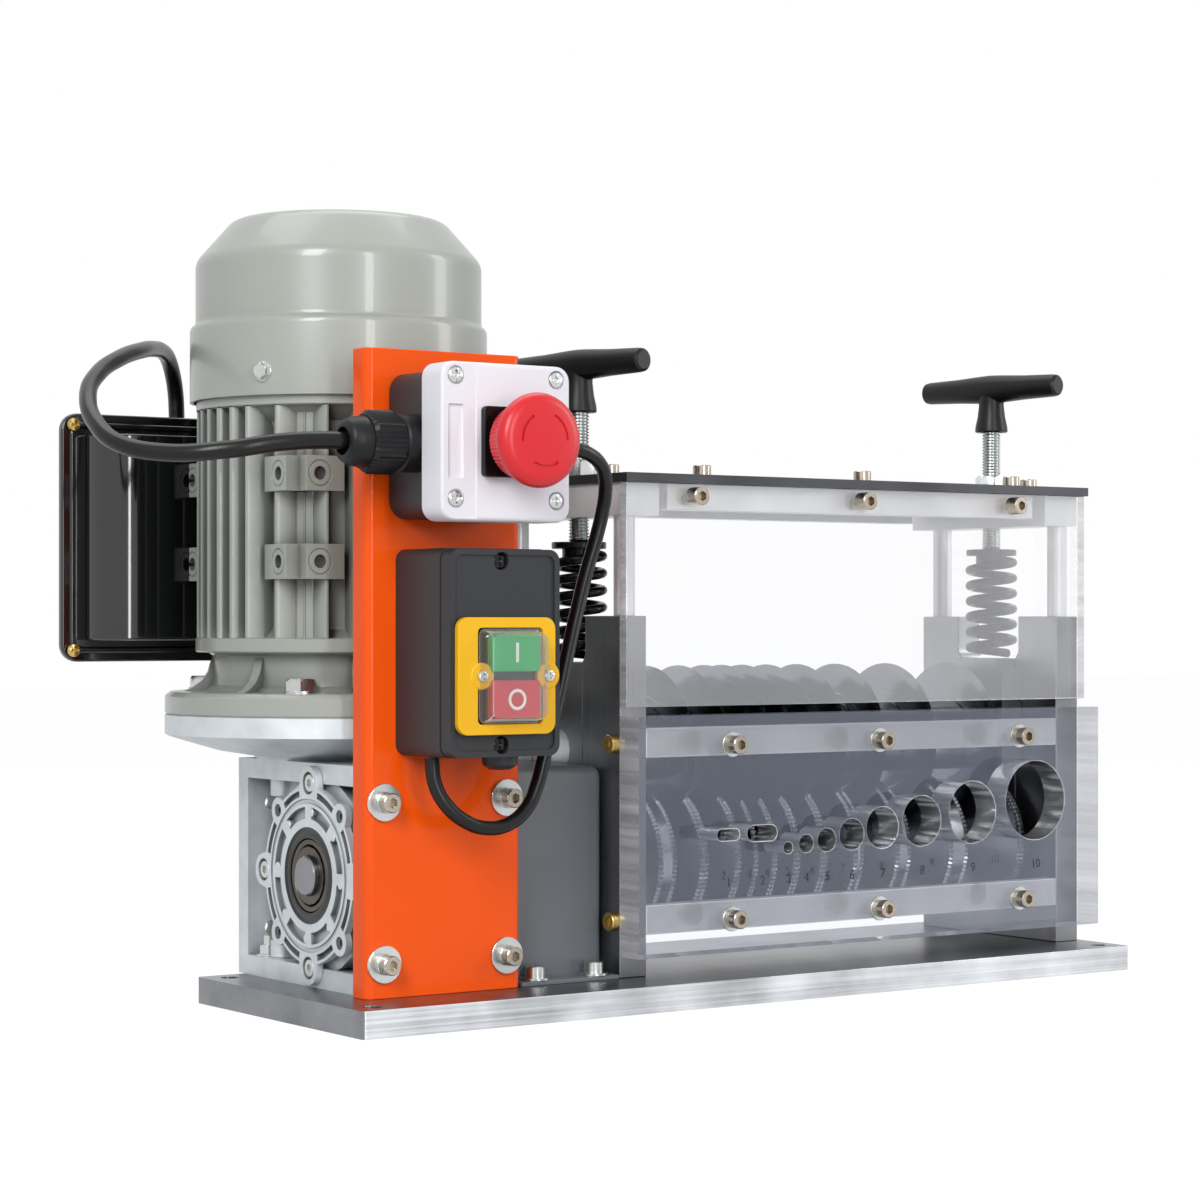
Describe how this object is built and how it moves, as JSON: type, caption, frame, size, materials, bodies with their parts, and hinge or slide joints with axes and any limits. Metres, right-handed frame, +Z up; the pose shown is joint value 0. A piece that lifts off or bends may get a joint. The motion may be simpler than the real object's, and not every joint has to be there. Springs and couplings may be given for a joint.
{
  "type": "wire stripping machine",
  "caption": "Bench wire stripper: a geared motor turns a grooved feed roller under round blades that T-handled screws press down, with clear guards, stop knob and switch.",
  "frame": {"origin": "middle of the base plate's underside", "axes": "+X along the base from the motor to the far side plate, +Y from the operator's side to the back, +Z up"},
  "size_m": [0.5378, 0.2698, 0.3622],
  "materials": {
    "steel": "ground",
    "orange_paint": "gloss",
    "cast_aluminium": "cast",
    "motor_paint": "satin",
    "black_plastic": "matte",
    "black_paint": "gloss",
    "pale_plastic": "satin",
    "red_plastic": "gloss",
    "grey_plastic": "matte",
    "yellow_plastic": "satin",
    "clear_plastic": "gloss",
    "green_plastic": "gloss",
    "stop_plastic": "gloss",
    "grey_paint": "satin",
    "brushed_aluminium": "brushed",
    "blade_steel": "polished",
    "bronze": "satin",
    "acrylic": "clear",
    "spring_steel": "black oxide",
    "zinc": "zinc plated"
  },
  "bodies": {
    "machine_frame": {"base_plate": "steel", "bracket_plate": "orange_paint", "gearbox_housing": "cast_aluminium", "output_cover": "cast_aluminium", "input_flange": "cast_aluminium", "motor_end_shield": "motor_paint", "motor_frame": "motor_paint", "fan_cowl": "motor_paint", "capacitor_cover": "black_paint", "capacitor_base": "black_paint", "stop_box_base": "grey_plastic", "stop_box_lid": "pale_plastic", "stop_collar": "black_plastic", "motor_cable_gland": "black_plastic", "motor_cable": "black_plastic", "switch_box": "grey_plastic", "switch_frame": "yellow_plastic", "switch_boot": "clear_plastic", "control_cable_gland": "black_plastic", "control_cable": "black_plastic", "drive_cover": "grey_paint", "left_side_plate": "steel", "right_side_plate": "steel", "left_spring": "spring_steel", "left_bridge": "brushed_aluminium", "right_spring": "spring_steel", "right_bridge": "brushed_aluminium", "top_plate": "steel", "front_guard_bar": "brushed_aluminium", "rear_guard_bar": "brushed_aluminium", "upper_guard": "acrylic", "lower_guard": "acrylic", "lower_tie_bar": "brushed_aluminium", "upper_tie_bar": "brushed_aluminium"},
    "motor_drive": {"motor_rotor": "steel"},
    "feed": {"feed_roller": "steel", "worm_wheel": "bronze"},
    "blade_carrier": {"left_bearing_block": "steel", "right_bearing_block": "steel"},
    "blade_arbor": {"blade_shaft": "steel", "blade_1": "blade_steel", "blade_2": "blade_steel", "blade_3": "blade_steel", "blade_4": "blade_steel", "blade_5": "blade_steel", "blade_6": "blade_steel", "blade_7": "blade_steel", "blade_8": "blade_steel", "blade_9": "blade_steel", "blade_10": "blade_steel"},
    "left_collar": {"left_press_collar": "spring_steel"},
    "right_collar": {"right_press_collar": "spring_steel"},
    "left_press": {"left_screw": "zinc", "left_handle": "black_plastic"},
    "right_press": {"right_screw": "zinc", "right_handle": "black_plastic"},
    "stop_plunger": {"stop_stem": "black_plastic"},
    "stop_knob": {"stop_mushroom": "red_plastic"},
    "start_key": {"start_button": "green_plastic"},
    "stop_key": {"stop_button": "stop_plastic"}
  },
  "joints": [
    {"name": "motor_spin", "type": "hinge", "parent": "machine_frame", "child": "motor_drive", "pos_m": [-0.163, 0.049, 0.2], "axis": [0, 0, 1], "continuous": true},
    {"name": "feed_spin", "type": "hinge", "parent": "machine_frame", "child": "feed", "pos_m": [0, 0.009, 0.062], "axis": [-1, 0, 0], "continuous": true},
    {"name": "blade_lift", "type": "slide", "parent": "machine_frame", "child": "blade_carrier", "axis": [0, 0, 1], "range_m": [0, 0.01], "stiffness_N_per_m": 6000, "springref_m": -0.005, "deforming": ["left_spring", "right_spring"]},
    {"name": "blade_spin", "type": "hinge", "parent": "blade_carrier", "child": "blade_arbor", "pos_m": [0, 0.009, 0.115], "axis": [1, 0, 0], "continuous": true},
    {"name": "left_screw_feed", "type": "slide", "parent": "machine_frame", "child": "left_collar", "axis": [0, 0, 1], "range_m": [-0.006, 0.006], "deforming": ["left_spring"]},
    {"name": "left_handle_turn", "type": "hinge", "parent": "left_collar", "child": "left_press", "pos_m": [-0.0555, 0.009, 0.274], "axis": [0, 0, 1], "range_deg": [-1440, 1440]},
    {"name": "right_screw_feed", "type": "slide", "parent": "machine_frame", "child": "right_collar", "axis": [0, 0, 1], "range_m": [-0.006, 0.006], "deforming": ["right_spring"]},
    {"name": "right_handle_turn", "type": "hinge", "parent": "right_collar", "child": "right_press", "pos_m": [0.2065, 0.009, 0.274], "axis": [0, 0, 1], "range_deg": [-1440, 1440]},
    {"name": "stop_press", "type": "slide", "parent": "machine_frame", "child": "stop_plunger", "axis": [0, 1, 0], "range_m": [0, 0.004], "stiffness_N_per_m": 500},
    {"name": "stop_twist", "type": "hinge", "parent": "stop_plunger", "child": "stop_knob", "pos_m": [-0.163, -0.105, 0.251], "axis": [0, 1, 0], "range_deg": [0, 45], "stiffness_Nm_per_rad": 0.05},
    {"name": "start_button_press", "type": "slide", "parent": "machine_frame", "child": "start_key", "axis": [0, 1, 0], "range_m": [0, 0.003], "stiffness_N_per_m": 400},
    {"name": "stop_button_press", "type": "slide", "parent": "machine_frame", "child": "stop_key", "axis": [0, 1, 0], "range_m": [0, 0.003], "stiffness_N_per_m": 400}
  ],
  "couplings": [
    {"joint": "feed_spin", "follows": "motor_spin", "ratio": 0.033333},
    {"joint": "left_handle_turn", "follows": "left_screw_feed", "rad_per_m": 4188.7},
    {"joint": "right_handle_turn", "follows": "right_screw_feed", "rad_per_m": 4188.7}
  ]
}
